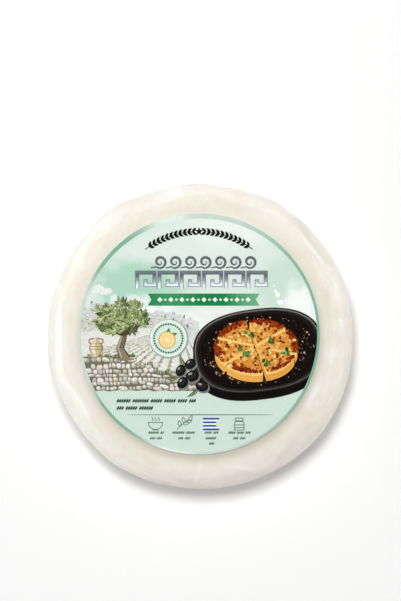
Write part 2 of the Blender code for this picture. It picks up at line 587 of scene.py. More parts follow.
def soft_step(tree, value, start, end, kind="SMOOTHSTEP"):
    """0 before start, 1 after end, and a smooth or else a LINEAR rise between."""
    node = add_node(tree, "ShaderNodeMapRange", interpolation_type=kind)
    node.inputs["From Min"].default_value = start
    node.inputs["From Max"].default_value = end
    tree.links.new(value, node.inputs["Value"])
    return node.outputs["Result"]


def add_bump(tree, shader, height, strength, distance):
    node = add_node(tree, "ShaderNodeBump", Strength=strength, Distance=distance)
    tree.links.new(height, node.inputs["Height"])
    tree.links.new(node.outputs["Normal"], shader.inputs["Normal"])


def rim_coordinates(tree, around, outward):
    """Coordinates that run round the rim and out over the shoulder, for marks that follow the rim."""
    axes = axes_of(tree)
    squares = [arithmetic(tree, "MULTIPLY", axes[axis], axes[axis]) for axis in "XY"]
    reach = arithmetic(tree, "SQRT", arithmetic(tree, "ADD", *squares))
    reach = arithmetic(tree, "MAXIMUM", reach, 0.001)
    joined = add_node(tree, "ShaderNodeCombineXYZ")
    for axis in "XY":
        place = arithmetic(tree, "DIVIDE", axes[axis], reach)
        tree.links.new(arithmetic(tree, "MULTIPLY", place, around), joined.inputs[axis])
    down = arithmetic(tree, "SUBTRACT", reach, axes["Z"])
    tree.links.new(arithmetic(tree, "MULTIPLY", down, outward), joined.inputs["Z"])
    return joined.outputs["Vector"]


def cheese_material():
    """White cheese: ivory on its face, whiter on its shoulders, partly its own tone and partly painted sheen
    of the film, with soft warm clouds.
    """
    made, shader, tree = new_material("cheese")
    from_middle = distance_from(tree, (0.6, -1.2))
    face = linear((241, 236, 224))
    # The shoulders' whiter tint is partly painted sheen of the film
    shoulder_and_sheen = linear((245, 241, 232))
    # The tint of the painted shadow that the label casts round its edge
    label_shadow_tint = linear((198, 188, 171))
    outward = soft_step(tree, from_middle, 52.0, 61.0)
    base = blend_colours(tree, outward, face, shoulder_and_sheen)

    # Warm clouds, and the fine grain of the curd
    clouds = noise_node(tree, 75.0, detail=4.0, roughness=0.6)
    warm = ramp(tree, clouds, ((0.42, (1, 1, 1, 1)), (0.68, (0.965, 0.925, 0.885, 1))))
    base = blend_colours(tree, 0.8, base, warm, "MULTIPLY")
    grain = noise_node(tree, 420.0, detail=3.0)
    fine = ramp(tree, grain, ((0.35, (0.96, 0.96, 0.955, 1)), (0.65, (1, 1, 1, 1))))
    base = blend_colours(tree, 0.6, base, fine, "MULTIPLY")

    # Pale streaks and warm bands along the rim
    streaks = noise_node(tree, 1.0, detail=3.0, roughness=0.6, coords=rim_coordinates(tree, 13.0, 330.0))
    pale = arithmetic(tree, "MULTIPLY", soft_step(tree, streaks, 0.50, 0.68), outward)
    base = blend_colours(tree, arithmetic(tree, "MULTIPLY", pale, 0.45), base, linear((253, 251, 246)))
    bands = noise_node(tree, 1.0, detail=4.0, roughness=0.65, coords=rim_coordinates(tree, 22.0, 260.0))
    warm_marks = arithmetic(tree, "MULTIPLY", soft_step(tree, bands, 0.52, 0.70), 0.25)
    base = blend_colours(tree, warm_marks, base, linear((226, 214, 194)))

    # The film's hollows in painted shade, its glints as painted highlights, and a warm painted shadow round
    # the label
    for name, strength, tint in (("painted_film_shade", 0.55, (208, 198, 179)), ("pale", 0.8, (255, 254, 250))):
        marks = add_node(tree, "ShaderNodeAttribute", attribute_name=name).outputs["Fac"]
        base = blend_colours(tree, arithmetic(tree, "MULTIPLY", marks, strength), base, linear(tint))
    # A painted shadow of the label on the cheese round it, its middle a little below the label's so that it
    # is wider underneath
    from_label = distance_from(tree, (0.5, -2.4))
    painted_label_shadow = arithmetic(tree, "SUBTRACT", 1.0, soft_step(tree, from_label, 47.7, 52.5))
    base = blend_colours(tree, arithmetic(tree, "MULTIPLY", painted_label_shadow, 0.85), base, label_shadow_tint)
    tree.links.new(base, shader.inputs["Base Color"])

    shader.inputs["Roughness"].default_value = 0.6
    shader.inputs["Specular IOR Level"].default_value = 0.1
    shader.inputs["Subsurface Weight"].default_value = 0.35
    shader.inputs["Subsurface Radius"].default_value = (1.0, 0.72, 0.5)
    shader.inputs["Subsurface Scale"].default_value = 0.003
    add_bump(tree, shader, noise_node(tree, 900.0, detail=4.0), 0.12, 0.0002)
    return made


def film_material():
    """Clear shrink film: nearly see-through, with a soft gloss and fine tension lines."""
    made, shader, tree = new_material("shrink_film")
    shader.inputs["Base Color"].default_value = (0.93, 0.925, 0.905, 1)
    shader.inputs["Roughness"].default_value = 0.2
    shader.inputs["Alpha"].default_value = 0.2
    shader.inputs["IOR"].default_value = 1.5
    shader.inputs["Coat Weight"].default_value = 1.0
    shader.inputs["Coat Roughness"].default_value = 0.1
    coords = add_node(tree, "ShaderNodeTexCoord").outputs["Object"]
    stretch = add_node(tree, "ShaderNodeMapping")
    stretch.inputs["Scale"].default_value = (1.0, 1.0, 0.25)
    tree.links.new(coords, stretch.inputs["Vector"])
    lines = noise_node(tree, 260.0, detail=3.0, distortion=1.2, coords=stretch.outputs["Vector"])
    add_bump(tree, shader, lines, 0.10, 0.0006)
    return made


def paper_material():
    """The label's ground: a pale mint wash, deeper at the left and right, white in the middle."""
    made, shader, tree = new_material("label_ground")
    pale = linear((220, 234, 225))
    deep = linear((175, 214, 192))
    middle = linear((203, 225, 211))
    white = linear((236, 243, 237))
    bright = linear((245, 249, 246))
    clouds = noise_node(tree, 38.0, detail=5.0, roughness=0.62, distortion=0.5)
    edges = noise_node(tree, 130.0, detail=4.0, roughness=0.6)
    wander = arithmetic(tree, "MULTIPLY", arithmetic(tree, "SUBTRACT", clouds, 0.5), 34.0)
    fray = arithmetic(tree, "MULTIPLY", arithmetic(tree, "SUBTRACT", edges, 0.5), 9.0)
    wander = arithmetic(tree, "ADD", wander, fray)
    base = pale
    for centre, stretch, colour, reach in (
        ((-27.0, 20.5), (1.5, 0.8), deep, (6.0, 17.0)),
        ((35.0, 19.0), (0.75, 1.0), middle, (6.0, 20.0)),
        ((14.0, 44.0), (1.6, 0.6), white, (4.0, 20.0)),
        ((2.0, -4.0), (1.5, 0.9), white, (8.0, 22.0)),
        ((-24.0, 11.0), (1.3, 0.8), bright, (2.0, 9.0)),
        ((43.0, 9.0), (0.8, 1.3), bright, (2.0, 12.0)),
    ):
        far = arithmetic(tree, "ADD", distance_from(tree, centre, stretch), wander)
        near = arithmetic(tree, "SUBTRACT", 1.0, soft_step(tree, far, *reach))
        base = blend_colours(tree, near, base, colour)
    tree.links.new(base, shader.inputs["Base Color"])
    finish_as_print(tree, shader)
    return made


def finish_as_print(tree, shader):
    """The satin sheen and fine tooth of coated label paper."""
    shader.inputs["Roughness"].default_value = 0.45
    shader.inputs["Specular IOR Level"].default_value = 0.04
    add_bump(tree, shader, noise_node(tree, 2600.0, detail=2.0), 0.08, 0.00004)


def ink_material(name, colour, cloud=0.08):
    """One printed ink, a little uneven in density."""
    made, shader, tree = new_material(name)
    density = noise_node(tree, 700.0, detail=3.0)
    dark = tuple(channel * (1 - cloud) for channel in linear(colour)[:3]) + (1.0,)
    light = tuple(min(1.0, channel * (1 + cloud)) for channel in linear(colour)[:3]) + (1.0,)
    shade = ramp(tree, density, ((0.3, dark), (0.7, light)))
    tree.links.new(shade, shader.inputs["Base Color"])
    finish_as_print(tree, shader)
    return made


def tinted_material(name, mottle, scale):
    """Ink whose colour comes from each shape's own tint, mottled by noise."""
    made, shader, tree = new_material(name)
    tint = add_node(tree, "ShaderNodeAttribute", attribute_name="tint")
    density = noise_node(tree, scale, detail=4.0, roughness=0.65)
    shade = ramp(tree, density, ((0.36, (1 - mottle,) * 3 + (1,)), (0.64, (1, 1, 1, 1))))
    base = blend_colours(tree, 1.0, tint.outputs["Color"], shade, "MULTIPLY")
    tree.links.new(base, shader.inputs["Base Color"])
    finish_as_print(tree, shader)
    return made


# The wheel's two surfaces

def new_piece(name, points, faces):
    """A mesh object in the scene, made of its points and faces."""
    mesh = bpy.data.meshes.new(name)
    mesh.from_pydata(points, [], faces)
    made = bpy.data.objects.new(name, mesh)
    bpy.context.scene.collection.objects.link(made)
    return made


def degrees_apart(first, second):
    """The angle between two directions, whichever way round is shorter."""
    return abs((first - second + 180) % 360 - 180)


def half_section():
    """Radius, height and share of the way outwards, from the middle of the top to that of the foot."""
    rows = []
    for step in range(1, FACE_RINGS):
        rows.append((FACE_RADIUS * (step / FACE_RINGS) ** FACE_RING_SPREAD, WHEEL_HEIGHT, 0.0))
    for step in range(SHOULDER_RINGS + 1):
        angle = step / SHOULDER_RINGS * math.pi / 2
        out = math.sin(angle) ** (2 / SHOULDER_POWER)
        down = 1 - math.cos(angle) ** (2 / SHOULDER_POWER)
        radius = FACE_RADIUS + (WHEEL_RADIUS - FACE_RADIUS) * out
        rows.append((radius, WHEEL_HEIGHT - SHOULDER_DEPTH * down, out))
    upper = list(rows)
    wall_top, wall_foot = WHEEL_HEIGHT - SHOULDER_DEPTH, SHOULDER_DEPTH
    for step in range(1, WALL_RINGS):
        share = step / WALL_RINGS
        bulge = WALL_BULGE * math.sin(math.pi * share)
        rows.append((WHEEL_RADIUS + bulge, wall_top + (wall_foot - wall_top) * share, 1.0))
    rows += [(radius, WHEEL_HEIGHT - height, share) for radius, height, share in upper[::-FOOT_THINNING]]
    return np.array(rows)


def corner_heights(direction):
    """How far the film's corners push the rim outwards, for an array of directions in radians."""
    total = np.zeros_like(direction)
    for degrees, height, half_width in CORNERS:
        apart = degrees_apart(np.degrees(direction), degrees)
        total += height * np.maximum(0.0, 1 - apart / half_width) ** CORNER_POWER
    return total


def line_heights(across, along, lines, half_width):
    """The summed height of soft ridges, each a line with a bow, at arrays of places."""
    total = np.zeros_like(across)
    for (x0, y0), (x1, y1), bow, crest in lines:
        run_x, run_y = x1 - x0, y1 - y0
        length = math.hypot(run_x, run_y)
        share = ((across - x0) * run_x + (along - y0) * run_y) / length ** 2
        aside = (run_x * (along - y0) - run_y * (across - x0)) / length
        inside = (share > 0) & (share < 1)
        lift = np.sin(math.pi * np.clip(share, 0, 1))
        swell = np.exp(-(((aside - bow * lift) / half_width) ** 2))
        total += np.where(inside, crest * lift * swell, 0.0)
    return total


def pressed_flat(points):
    """The points with whatever stands beyond the film's flats pressed back onto them."""
    for direction, tilt, depth in FACETS:
        turn, lean = math.radians(direction), math.radians(tilt)
        aside = math.sin(lean)
        normal = np.array([aside * math.cos(turn), aside * math.sin(turn), math.cos(lean)])
        reach = points @ normal
        beyond = np.maximum(0.0, reach - (reach.max() - depth))
        points = points - beyond[..., None] * normal
    return points


def small_creases():
    """Short creases of the film, in rim length and depth down the section, mostly along its pull."""
    draw = random.Random(CREASE_SEED)
    rim = 2 * math.pi * WHEEL_RADIUS
    lines = []
    for count, depths, lengths, spread, tallest in CREASES:
        for _ in range(count):
            place = draw.uniform(0, rim)
            depth = draw.uniform(*depths)
            length = draw.uniform(*lengths)
            lean = draw.gauss(0, spread)
            end = (place + length * math.sin(lean), depth + length * math.cos(lean))
            bow = draw.gauss(0, CREASE_BOW)
            lines.append(((place, depth), end, bow, draw.uniform(0.3, 1.0) * tallest))
    return lines


def wheel_surface(name, inset, lumps, fold_share):
    """One closed surface of the wheel, its section offset inwards by inset and then shaped all round."""
    section = half_section()
    radius, height, share = section.T
    slope_r, slope_z = np.gradient(radius), np.gradient(height)
    length = np.hypot(slope_r, slope_z)
    out_r, out_z = -slope_z / length, slope_r / length
    depth = np.cumsum(length)
    turn = np.linspace(0, 2 * math.pi, AROUND, endpoint=False)
    theta, ring = np.meshgrid(turn, np.arange(len(radius)), indexing="ij")
    plan = radius[ring] + corner_heights(theta) * share[ring]
    shaped = pressed_flat(np.stack([plan * np.cos(theta), plan * np.sin(theta), height[ring]], axis=-1))
    x, y, z = (shaped[..., axis].copy() for axis in range(3))
    lift = np.full_like(x, -inset)
    upper = np.sqrt(np.maximum(0.0, z / WHEEL_HEIGHT * 2 - 1))
    lift += line_heights(x, y, FOLDS, FOLD_HALF_WIDTH) * upper * fold_share
    lift += line_heights(x, y, FINE_FOLDS, FINE_FOLD_HALF_WIDTH) * upper * fold_share
    rim_length = theta * WHEEL_RADIUS
    lift += line_heights(rim_length, depth[ring], small_creases(), CREASE_HALF_WIDTH) * fold_share
    bumps = [noise.noise(Vector(point) / LUMP_SIZE) for point in zip(x.flat, y.flat, z.flat)]
    lift += np.array(bumps).reshape(x.shape) * lumps
    flat_foot = (z < FOOT_LEVEL) & (share[ring] < FOOT_SHARE)
    lift = np.where(flat_foot, -inset, lift)
    x += lift * out_r[ring] * np.cos(theta)
    y += lift * out_r[ring] * np.sin(theta)
    z += lift * out_z[ring]
    points = np.stack([x, y, z], axis=-1).reshape(-1, 3).tolist()
    points += [(0.0, 0.0, WHEEL_HEIGHT - inset), (0.0, 0.0, inset)]
    made = new_piece(name, points, closed_faces(len(radius)))
    made.data.shade_smooth()
    return made


def closed_faces(rings):
    """Faces between the wheel's columns of points, and then round the middles of its top and foot."""
    columns = [(column * rings, (column + 1) % AROUND * rings) for column in range(AROUND)]
    faces = []
    for here, there in columns:
        faces += [(here + i, here + i + 1, there + i + 1, there + i) for i in range(rings - 1)]
    top, foot = AROUND * rings, AROUND * rings + 1
    for here, there in columns:
        faces.append((top, here, there))
        faces.append((foot, there + rings - 1, here + rings - 1))
    return faces


def mark(piece, name, groups):
    """A value at every point of the wheel's upper half, from soft lines of the given half widths."""
    flat = np.empty(len(piece.data.vertices) * 3)
    piece.data.vertices.foreach_get("co", flat)
    x, y, z = flat.reshape(-1, 3).T
    values = sum(line_heights(x, y, lines, half_width) for lines, half_width in groups)
    values = np.clip(values, 0, 1) * (z > WHEEL_HEIGHT / 2)
    piece.data.attributes.new(name, "FLOAT", "POINT").data.foreach_set("value", values)


def cheese():
    made = wheel_surface("cheese", CHEESE_INSET, CHEESE_LUMP, CHEESE_FOLD_SHARE)
    # Painted highlights and painted shade of the film, as values on the cheese's points
    mark(made, "pale", ((PAINTED_GLINT_LINES, PAINTED_GLINT_LINE_HALF_WIDTH), (PAINTED_GLINT_PATCHES, PATCH_HALF_WIDTH)))
    mark(made, "painted_film_shade", ((PAINTED_SHADE_PATCHES, PATCH_HALF_WIDTH),))
    made.data.materials.append(cheese_material())
    return made


def film():
    made = wheel_surface("shrink_film", 0.0, FILM_LUMP, 1.0)
    made.data.materials.append(film_material())
    return made


# The label's printed shapes, in millimetres from the middle of the label, with +y towards its top

class Print:
    """Flat shapes of one ink, gathered into one piece of thin closed slips, a hair above the label."""

    def __init__(self, name):
        self.name = "print_" + name
        self.top = LABEL_TOP + LAYERS[name] * INK_LAYER
        self.bottom = LABEL_TOP - INK_ROOT
        self.points = []
        self.faces = []
        self.tints = []
        self.added = 0

    def next_top(self):
        """The height of the next shape's top, a hair above that of the shape before it."""
        self.added += 1
        return self.top + self.added % LIFT_CYCLE * SHAPE_LIFT

    def add(self, outline, tint=(1, 1, 1)):
        """One shape, lying on its neighbours."""
        if signed_area(outline) < 0:
            outline = outline[::-1]
        count = len(outline)
        base = len(self.points)
        for z in (self.next_top(), self.bottom):
            for x, y in outline:
                self.points.append((LABEL_CENTRE.x + x * MM, LABEL_CENTRE.y + y * MM, z))
        self.faces.append([base + i for i in range(count)])
        self.faces.append([base + count + i for i in reversed(range(count))])
        for i in range(count):
            j = (i + 1) % count
            self.faces.append([base + i, base + count + i, base + count + j, base + j])
        self.tints += [tint] * (count + 2)

    def add_strip(self, left, right, tints=None, closed=False):
        """A band between two lines of points, the right one on the right of its run."""
        count = len(left)
        low = 2 * count
        base = len(self.points)
        for z in (self.next_top(), self.bottom):
            for line in (left, right):
                for x, y in line:
                    self.points.append((LABEL_CENTRE.x + x * MM, LABEL_CENTRE.y + y * MM, z))
        tints = tints or [(1, 1, 1)] * count
        for i in range(count if closed else count - 1):
            j = (i + 1) % count
            a, b, c, d = base + i, base + count + i, base + count + j, base + j
            self.faces += [[a, b, c, d], [a + low, d + low, c + low, b + low]]
            self.faces += [[a, d, d + low, a + low], [b, b + low, c + low, c]]
            self.tints += [tints[i]] * 4
        if not closed:
            for a, b, flip in ((base, base + count, False), (base + count - 1, base + low - 1, True)):
                face = [a, a + low, b + low, b]
                self.faces.append(face[::-1] if flip else face)
                self.tints.append(tints[0] if a == base else tints[-1])

    def piece(self, material):
        """The piece that holds all the shapes, each face with its shape's tint."""
        made = new_piece(self.name, self.points, self.faces)
        colours = made.data.color_attributes.new("tint", "FLOAT_COLOR", "CORNER")
        for polygon, tint in zip(made.data.polygons, self.tints):
            for corner in polygon.loop_indices:
                colours.data[corner].color = linear(tint) if max(tint) > 1 else (*tint, 1.0)
        made.data.materials.append(material)
        settle(made)


def settle(piece):
    """Nothing on the pack moves, so every piece rides on its root."""
    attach(piece, "root")


def signed_area(outline):
    """Twice the area inside the outline, above zero where it runs anticlockwise."""
    return sum(a[0] * b[1] - b[0] * a[1] for a, b in zip(outline, outline[1:] + outline[:1]))


def placed(points, x, y, degrees=0.0):
    """The points turned by an angle and moved to (x, y)."""
    cosine, sine = math.cos(math.radians(degrees)), math.sin(math.radians(degrees))
    return [(x + a * cosine - b * sine, y + a * sine + b * cosine) for a, b in points]


def on_circle(radius, angle, x=0.0, y=0.0):
    """The place on a circle round (x, y), at an angle in radians."""
    return x + radius * math.cos(angle), y + radius * math.sin(angle)


def circle(x, y, radius, count=48, stretch=1.0, turn=0.0):
    """Points round a circle or an upright ellipse, turned by an angle in degrees."""
    angles = [2 * math.pi * i / count for i in range(count)]
    return placed([(radius * math.cos(a), radius * stretch * math.sin(a)) for a in angles], x, y, turn)


def blot(draw, x, y, size, stretch=0.7, sides=8, rough=0.2, lean=180.0):
    """An uneven rounded shape, such as a crumb, a cloud or a browned spot."""
    points = []
    for i in range(sides):
        angle = 2 * math.pi * i / sides
        reach = size * draw.uniform(1 - rough, 1 + rough)
        points.append((reach * math.cos(angle), reach * stretch * math.sin(angle)))
    return placed(points, x, y, draw.uniform(-lean, lean))


def leaf(x, y, heading, length, width, steps=7, bend=0.0):
    """A leaf from its stalk at (x, y) along heading in degrees, broadest a little nearer its stalk."""
    edge = []
    for side in (-1, 1):
        shares = [i / steps for i in range(steps + 1)]
        if side > 0:
            shares = shares[::-1][1:-1]
        for share in shares:
            half = width / 2 * math.sin(math.pi * share ** LEAF_TAPER)
            edge.append((share * length, side * half + bend * math.sin(math.pi * share)))
    return placed(edge, x, y, heading)


def hull(points):
    """The convex outline round the points, anticlockwise."""
    rows = sorted(set(points))
    halves = []
    for run in (rows, rows[::-1]):
        half = []
        for p in run:
            while len(half) > 1 and turn_of(half[-2], half[-1], p) <= 0:
                half.pop()
            half.append(p)
        halves += half[:-1]
    return halves


def turn_of(a, b, c):
    """Above zero where the way from a by b to c turns left."""
    return (b[0] - a[0]) * (c[1] - a[1]) - (b[1] - a[1]) * (c[0] - a[0])


def between(first, second, share):
    """A tint part of the way from the first to the second."""
    return tuple(a + (b - a) * share for a, b in zip(first, second))


def pulled_in(outline, limit=PRINT_LIMIT):
    """The outline with whatever would pass the label's ring pulled back to it."""
    kept = []
    for x, y in outline:
        far = math.hypot(x, y)
        scale = min(1.0, limit / far) if far else 1.0
        kept.append((x * scale, y * scale))
    return kept


def stroke(path, widths, closed=False):
    """The left and right lines of a pen stroke along path, with mitred corners."""
    count = len(path)
    if not hasattr(widths, "__len__"):
        widths = [widths] * count
    left, right = [], []
    for i, (x, y) in enumerate(path):
        before = path[i - 1] if i or closed else path[i]
        after = path[(i + 1) % count] if i < count - 1 or closed else path[i]
        run_in = Vector((x - before[0], y - before[1]))
        run_out = Vector((after[0] - x, after[1] - y))
        run_in = run_in.normalized() if run_in.length else run_out.normalized()
        run_out = run_out.normalized() if run_out.length else run_in
        side_in = Vector((-run_in.y, run_in.x))
        side_out = Vector((-run_out.y, run_out.x))
        mitre = (side_in + side_out).normalized()
        reach = widths[i] / 2 / max(0.4, mitre.dot(side_in))
        left.append((x + mitre.x * reach, y + mitre.y * reach))
        right.append((x - mitre.x * reach, y - mitre.y * reach))
    return left, right


def label_sheet():
    """The label itself, a thin disc with a soft edge, lying on the film."""
    half = (LABEL_TOP - LABEL_UNDERSIDE) / 2
    flat = LABEL_RADIUS - LABEL_EDGE
    section = [(flat, LABEL_UNDERSIDE)]
    for step in range(LABEL_EDGE_STEPS + 1):
        angle = -math.pi / 2 + math.pi * step / LABEL_EDGE_STEPS
        section.append((flat + LABEL_EDGE * math.cos(angle), LABEL_UNDERSIDE + half + half * math.sin(angle)))
    points, faces = [], []
    for i in range(RING_SEGMENTS):
        angle = 2 * math.pi * i / RING_SEGMENTS
        for radius, z in section:
            points.append((*on_circle(radius, angle, LABEL_CENTRE.x, LABEL_CENTRE.y), z))
    rings = len(section)
    for i in range(RING_SEGMENTS):
        here, there = i * rings, (i + 1) % RING_SEGMENTS * rings
        faces += [(here + k, there + k, there + k + 1, here + k + 1) for k in range(rings - 1)]
    faces.append([i * rings for i in reversed(range(RING_SEGMENTS))])
    faces.append([i * rings + rings - 1 for i in range(RING_SEGMENTS)])
    made = new_piece("label_sheet", points, faces)
    made.data.materials.append(paper_material())
    settle(made)
    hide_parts("label")


def ring():
    """The foil-like ring round the label, wider at the top, pale where it catches the light."""
    outer = LABEL_RADIUS / MM + RING_OVERHANG
    shapes = Print("ring")
    left, right, tints = [], [], []
    for i in range(RING_SEGMENTS):
        degrees = 360 * i / RING_SEGMENTS
        angle = math.radians(degrees)
        from_top = min(90, degrees_apart(degrees, RING_SWELL_MIDDLE) * RING_SWELL_NARROWING)
        swell = max(0.0, math.cos(math.radians(from_top))) ** RING_SWELL_POWER
        width = RING_WIDTH + RING_SWELL * swell
        tint = between(RING_TINT, RING_GREEN_TINT, nearness(degrees, RING_GREENS))
        tints.append(between(tint, RING_GLINT_TINT, nearness(degrees, RING_GLINTS)))
        left.append(on_circle(outer - width, angle))
        right.append(on_circle(outer, angle))
    shapes.add_strip(left, right, tints, closed=True)
    shapes.piece(tinted_material("ring_foil", 0.05, 500.0))


def nearness(degrees, stretches):
    """1 in the middle of a stretch of the ring, a half at its ends and 0 far from all of them."""
    apart = [degrees_apart(degrees, middle) / half for middle, half in stretches]
    return 0.5 ** (min(apart) ** RING_CHANGE)


def panel():
    """The pale band across the foot of the label."""
    half = math.sqrt(PANEL_LIMIT ** 2 - PANEL_LEVEL ** 2)
    start = math.atan2(PANEL_LEVEL, -half) + 2 * math.pi
    end = math.atan2(PANEL_LEVEL, half) + 2 * math.pi
    shapes = Print("panel")
    shapes.add([on_circle(PANEL_LIMIT, start + (end - start) * i / 60) for i in range(61)])
    shapes.piece(ink_material("panel_mint", (209, 226, 215), 0.02))


def laurel():
    """A black laurel arc under the top of the ring, with a small star in its middle."""
    shapes = Print("laurel")
    for side in (-1, 1):
        for i in range(LAUREL_LEAVES):
            degrees = 90 - side * (LAUREL_START + i * LAUREL_PITCH)
            x, y = on_circle(LAUREL_RADIUS, math.radians(degrees), 0.0, LAUREL_CENTRE)
            tangent = degrees + 90 * side
            for lean in (-1, 1):
                shapes.add(leaf(x, y, tangent + LAUREL_LEAN * lean, *LAUREL_LEAF))
        angles = [math.radians(90 - side * (3.6 + i * 1.15)) for i in range(30)]
        path = [on_circle(LAUREL_RADIUS, angle, 0.0, LAUREL_CENTRE) for angle in angles]
        shapes.add_strip(*stroke(path, LAUREL_STEM_WIDTH))
    crest = LAUREL_CENTRE + LAUREL_RADIUS
    shapes.add([on_circle(STAR_REACHES[i % 2], math.radians(90 + 36 * i), 0.0, crest) for i in range(10)])
    shapes.piece(ink_material("black_ink", (20, 22, 22), 0.2))


def running_wave():
    """A row of curling waves in brushed grey, between the laurel and the key band."""
    shapes = Print("wave")
    for wave in range(WAVES):
        start = WAVE_START + wave * WAVE_PITCH
        path = []
        for share in (0.0, 0.2, 0.4):
            lift = 0.5 * math.sin(math.pi * share)
            path.append((start + WAVE_PITCH * 0.98 * share, WAVE_LEVEL + lift))
        centre = (start + WAVE_PITCH * 0.62, WAVE_LEVEL + 2.5)
        for i in range(CURL_POINTS):
            share = i / (CURL_POINTS - 1)
            reach = 2.35 * (1 - share) ** 0.75 + 0.25
            path.append(on_circle(reach, math.radians(-100 + 500 * share), *centre))
        turns = [min(1.0, (i + 1) / len(path) * 1.15) for i in range(len(path))]
        widths = [0.35 + 0.75 * math.sin(math.pi * turn) for turn in turns]
        shapes.add_strip(*stroke(path, widths))
    shapes.piece(ink_material("brushed_grey", (96, 106, 110), 0.25))


def key_band():
    """A Greek key in steel grey, paler towards its foot."""
    outline, fill = Print("key_edge"), Print("key")
    step, unit = KEY_PITCH / 5, (KEY_TOP - KEY_BOTTOM) / 4
    for key in range(KEYS):
        x = KEY_START + key * KEY_PITCH
        path = [(x + across * step, KEY_BOTTOM + up * unit) for across, up in KEY_PATH]
        for shapes, width in zip((outline, fill), KEY_WIDTHS):
            shapes.add_strip(*stroke(path, width))
    outline.piece(ink_material("slate_edge", (104, 116, 124), 0.15))
    fill.piece(key_material())


def key_material():
    """Steel grey at the top, running to a pale shine near the foot."""
    made, shader, tree = new_material("key_steel")
    axes = axes_of(tree)
    wander = arithmetic(tree, "MULTIPLY", noise_node(tree, 260.0, detail=2.0), 0.0022)
    height = arithmetic(tree, "ADD", axes["Y"], wander)
    low, high = LABEL_CENTRE.y + KEY_BOTTOM * MM, LABEL_CENTRE.y + (KEY_TOP + 1.5) * MM
    rise = soft_step(tree, height, low, high, "LINEAR")
    stops = (
        (0.0, linear((214, 228, 232))),
        (0.32, linear((232, 241, 243))),
        (0.56, linear((152, 163, 169))),
        (0.85, linear((92, 102, 108))),
        (1.0, linear((120, 130, 136))),
    )
    tree.links.new(ramp(tree, rise, stops), shader.inputs["Base Color"])
    finish_as_print(tree, shader)
    return made


def ribbon():
    """The green ribbon with swallow tails, and a row of white lozenges and dots on it."""
    middle = (RIBBON_BOTTOM + RIBBON_TOP) / 2
    shapes = Print("ribbon")
    upper, lower, tints = [], [], []
    for i in range(RIBBON_STEPS + 1):
        share = i / RIBBON_STEPS
        x = RIBBON_LEFT + (RIBBON_RIGHT - RIBBON_LEFT) * share
        upper.append((x, RIBBON_TOP))
        lower.append((x, RIBBON_BOTTOM))
        shine = 0.5 + 0.5 * math.sin(share * 9.0 - 0.6)
        fade = max(0.0, share - 0.72) / 0.28
        tint = between((24, 122, 66), (78, 166, 108), 0.15 + 0.55 * shine)
        tints.append(between(tint, (128, 184, 146), fade * 0.8))
    shapes.add_strip(lower[::-1], upper[::-1], tints[::-1])
    shapes.piece(tinted_material("ribbon_green", 0.08, 300.0))
    cuts = Print("ribbon_notches")
    for edge, inward in ((RIBBON_LEFT, 1), (RIBBON_RIGHT, -1)):
        mouth = edge - inward * 0.1
        tip = (edge + inward * RIBBON_NOTCH, middle)
        cuts.add([(mouth, RIBBON_BOTTOM - 0.1), tip, (mouth, RIBBON_TOP + 0.1)])
    cuts.piece(ink_material("notch_mint", (214, 233, 221), 0.02))
    marks = Print("ribbon_marks")
    for i in range(RIBBON_MARKS):
        x = RIBBON_MARKS_START + i * RIBBON_MARKS_PITCH
        if i % 2:
            marks.add(circle(x, middle, 0.5, 12))
        else:
            marks.add([(x - 1.1, middle), (x, middle - 1.05), (x + 1.1, middle), (x, middle + 1.05)])
    marks.piece(ink_material("white_ink", (238, 244, 238), 0.02))


def uneven_line(line, step, rough, seed):
    """The line with points every step or so, each moved a little up or down."""
    points = []
    for (x0, y0), (x1, y1) in zip(line, line[1:]):
        count = max(1, round(math.hypot(x1 - x0, y1 - y0) / step))
        for i in range(count):
            share = i / count
            x, y = x0 + (x1 - x0) * share, y0 + (y1 - y0) * share
            points.append((x, y + rough * noise.noise(Vector((x * 0.45, y * 0.45, seed)))))
    return points + [line[-1]]


def hills():
    """Pale terraced hills across the picture, with white clouds and slim trees."""
    shapes = Print("hills")
    draw = random.Random(HILL_SEED)
    for x, y, size in CLOUD_PUFFS:
        shapes.add(pulled_in(blot(draw, x, y, size, 0.6, 16, 0.08, 20), CLOUD_LIMIT), (243, 248, 244))
    for number, (tint, skyline) in enumerate(HILLS):
        crest = uneven_line(skyline, 0.8, 2.2, number * 7.3)
        shapes.add(pulled_in(crest + [(skyline[-1][0], HILL_FOOT), (skyline[0][0], HILL_FOOT)]), tint)
        for level in range(TERRACES):
            for x, y in crest:
                if draw.random() < 0.5:
                    drop = 1.0 + level * 1.3 + draw.uniform(-0.2, 0.2)
                    wall = circle(x, y - drop, draw.uniform(0.4, 1.0), 8, 0.16, draw.gauss(-8, 8))
                    shapes.add(pulled_in(wall), between(tint, (132, 130, 112), draw.uniform(0.1, 0.65)))
        for x, y in crest[::2]:
            if draw.random() < 0.4:
                top = y + 0.5 - draw.random() * 4.0
                slim = circle(x, top, draw.uniform(0.5, 1.0), 10, 0.36, 90)
                shapes.add(pulled_in(slim), between((84, 96, 66), (150, 156, 128), draw.random()))
    shapes.piece(tinted_material("hill_wash", 0.22, 900.0))


